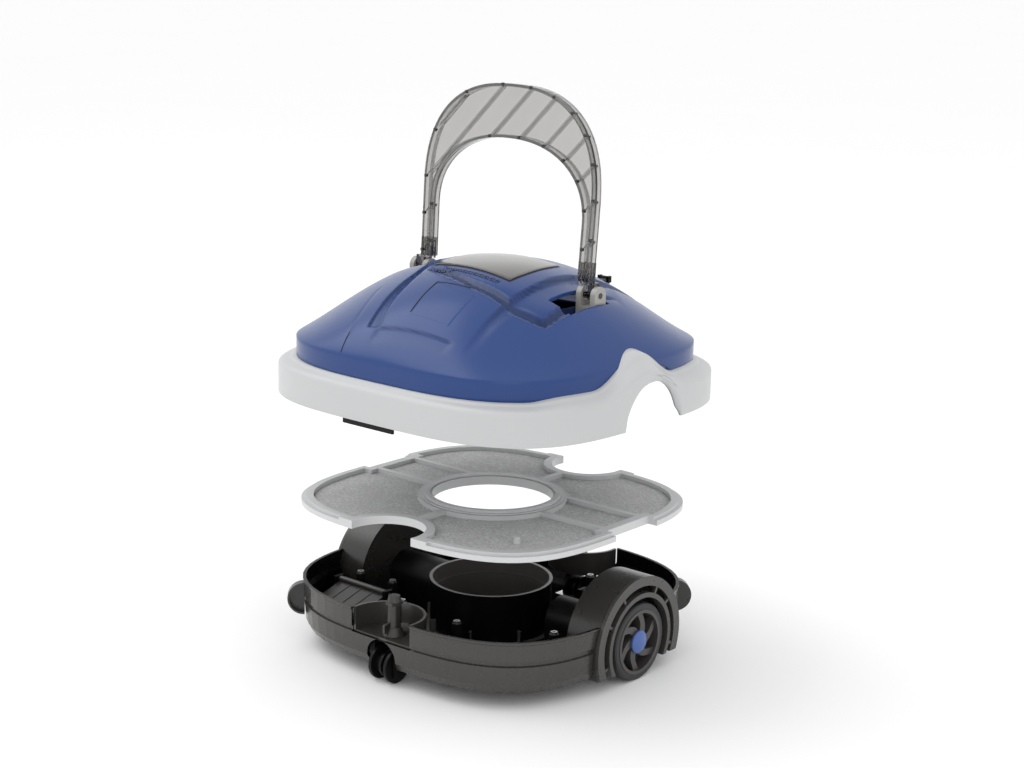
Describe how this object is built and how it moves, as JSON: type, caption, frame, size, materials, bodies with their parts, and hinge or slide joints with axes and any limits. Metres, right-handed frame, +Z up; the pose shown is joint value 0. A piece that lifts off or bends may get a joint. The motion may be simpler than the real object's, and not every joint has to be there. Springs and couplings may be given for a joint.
{
  "type": "pool cleaner",
  "caption": "Battery-driven pool-floor cleaner that lifts apart into wheeled base, filter tray and domed pump cover with folding handle.",
  "frame": {"origin": "on the floor under the middle of the machine", "axes": "+X along the wheel axle to the right, +Y to the rear, +Z up"},
  "size_m": [0.4, 0.376, 0.594],
  "materials": {
    "base_plastic": "satin black moulded plastic",
    "steel": "bright stainless",
    "roller_plastic": "satin black",
    "flap_plastic": "matt grey",
    "motor_can": "drawn can",
    "bronze": "sintered bronze",
    "tyre_rubber": "matt rubber",
    "rim_plastic": "matt grey",
    "cap_blue": "glossy blue",
    "tray_plastic": "translucent off-white",
    "filter_cloth": "speckled felt",
    "skirt_plastic": "satin light grey",
    "dome_blue": "glossy blue",
    "panel_grey": "glossy warm grey",
    "dome_dark_blue": "satin dark blue",
    "socket_grey": "matt grey",
    "smoke_clear": "clear smoke-grey plastic",
    "smoke_dark": "dark smoke plastic",
    "battery_wrap": "heat-shrink wrap",
    "board_green": "solder mask"
  },
  "bodies": {
    "base": {"base_tray": "base_plastic", "pump_well": "base_plastic", "well_grille": "base_plastic", "pocket_cups": "base_plastic", "wheel_well_left": "base_plastic", "wheel_well_right": "base_plastic", "fender_left": "base_plastic", "fender_right": "base_plastic", "corner_bumpers": "base_plastic", "latch_posts": "base_plastic", "roller_brackets": "base_plastic", "roller_pins": "steel", "inlet_ducts": "base_plastic", "flap_pins": "steel", "screw_bosses": "base_plastic", "base_screws": "steel", "motor_left": "motor_can", "motor_right": "motor_can", "motor_covers": "base_plastic", "axle_bushes": "bronze"},
    "left_wheel": {"axle_left": "steel", "tyre_left": "tyre_rubber", "rim_left": "rim_plastic", "hub_cap_left": "cap_blue"},
    "right_wheel": {"axle_right": "steel", "tyre_right": "tyre_rubber", "rim_right": "rim_plastic", "hub_cap_right": "cap_blue"},
    "front_roller": {"roller_front": "roller_plastic"},
    "rear_roller": {"roller_rear": "roller_plastic"},
    "front_flap": {"flap_front": "flap_plastic"},
    "rear_flap": {"flap_rear": "flap_plastic"},
    "filter_tray": {"filter_frame": "tray_plastic", "filter_mesh": "filter_cloth", "filter_peg": "tray_plastic"},
    "cover": {"skirt": "skirt_plastic", "skirt_liner": "base_plastic", "dome": "dome_blue", "crown_panel": "panel_grey", "grip_strip": "dome_dark_blue", "front_hatch": "dome_blue", "pocket_tubs": "dome_dark_blue", "handle_sockets": "socket_grey", "pivot_pins": "steel", "inner_deck": "base_plastic", "pump_housing": "base_plastic", "pump_motor": "motor_can", "intake_grille": "base_plastic", "battery_pack": "battery_wrap", "battery_strap": "base_plastic", "control_board": "board_green", "button_seat": "dome_blue", "charge_port": "base_plastic", "deck_screws": "steel"},
    "handle": {"handle_arch": "smoke_clear", "handle_feet": "smoke_dark"},
    "impeller": {"impeller": "rim_plastic"},
    "button": {"power_button": "socket_grey", "button_spring": "steel"},
    "cap": {"port_cap": "tyre_rubber"}
  },
  "joints": [
    {"name": "cover_lift", "type": "slide", "parent": "base", "child": "cover", "axis": [0, 0, 1], "range_m": [-0.213, 0]},
    {"name": "tray_lift", "type": "slide", "parent": "base", "child": "filter_tray", "axis": [0, 0, 1], "range_m": [-0.044, 0]},
    {"name": "handle_fold", "type": "hinge", "parent": "cover", "child": "handle", "pos_m": [0, 0.012, 0.393], "axis": [1, 0, 0], "range_deg": [0, 70]},
    {"name": "left_wheel_spin", "type": "hinge", "parent": "base", "child": "left_wheel", "pos_m": [-0.175, 0.018, 0.041], "axis": [1, 0, 0], "continuous": true},
    {"name": "right_wheel_spin", "type": "hinge", "parent": "base", "child": "right_wheel", "pos_m": [0.175, 0.018, 0.041], "axis": [1, 0, 0], "continuous": true},
    {"name": "front_roller_spin", "type": "hinge", "parent": "base", "child": "front_roller", "pos_m": [0, -0.157, 0.018], "axis": [1, 0, 0], "continuous": true},
    {"name": "rear_roller_spin", "type": "hinge", "parent": "base", "child": "rear_roller", "pos_m": [0, 0.157, 0.018], "axis": [1, 0, 0], "continuous": true},
    {"name": "front_flap_open", "type": "hinge", "parent": "base", "child": "front_flap", "pos_m": [-0.118, -0.074, 0.051], "axis": [-1, 0, 0], "range_deg": [0, 50]},
    {"name": "rear_flap_open", "type": "hinge", "parent": "base", "child": "rear_flap", "pos_m": [0.103, 0.074, 0.051], "axis": [1, 0, 0], "range_deg": [0, 50]},
    {"name": "impeller_spin", "type": "hinge", "parent": "cover", "child": "impeller", "pos_m": [0, 0, 0.259], "axis": [0, 0, 1], "continuous": true},
    {"name": "power_button_press", "type": "slide", "parent": "cover", "child": "button", "axis": [0, 0, -1], "range_m": [0, 0.002], "stiffness_N_per_m": 400, "deforming": ["button_spring"]},
    {"name": "port_cap_open", "type": "hinge", "parent": "cover", "child": "cap", "pos_m": [0.048, 0.12, 0.3876], "axis": [-1, 0, 0], "range_deg": [0, 105]}
  ],
  "couplings": [
    {"joint": "tray_lift", "follows": "cover_lift", "ratio": 0.20657}
  ]
}
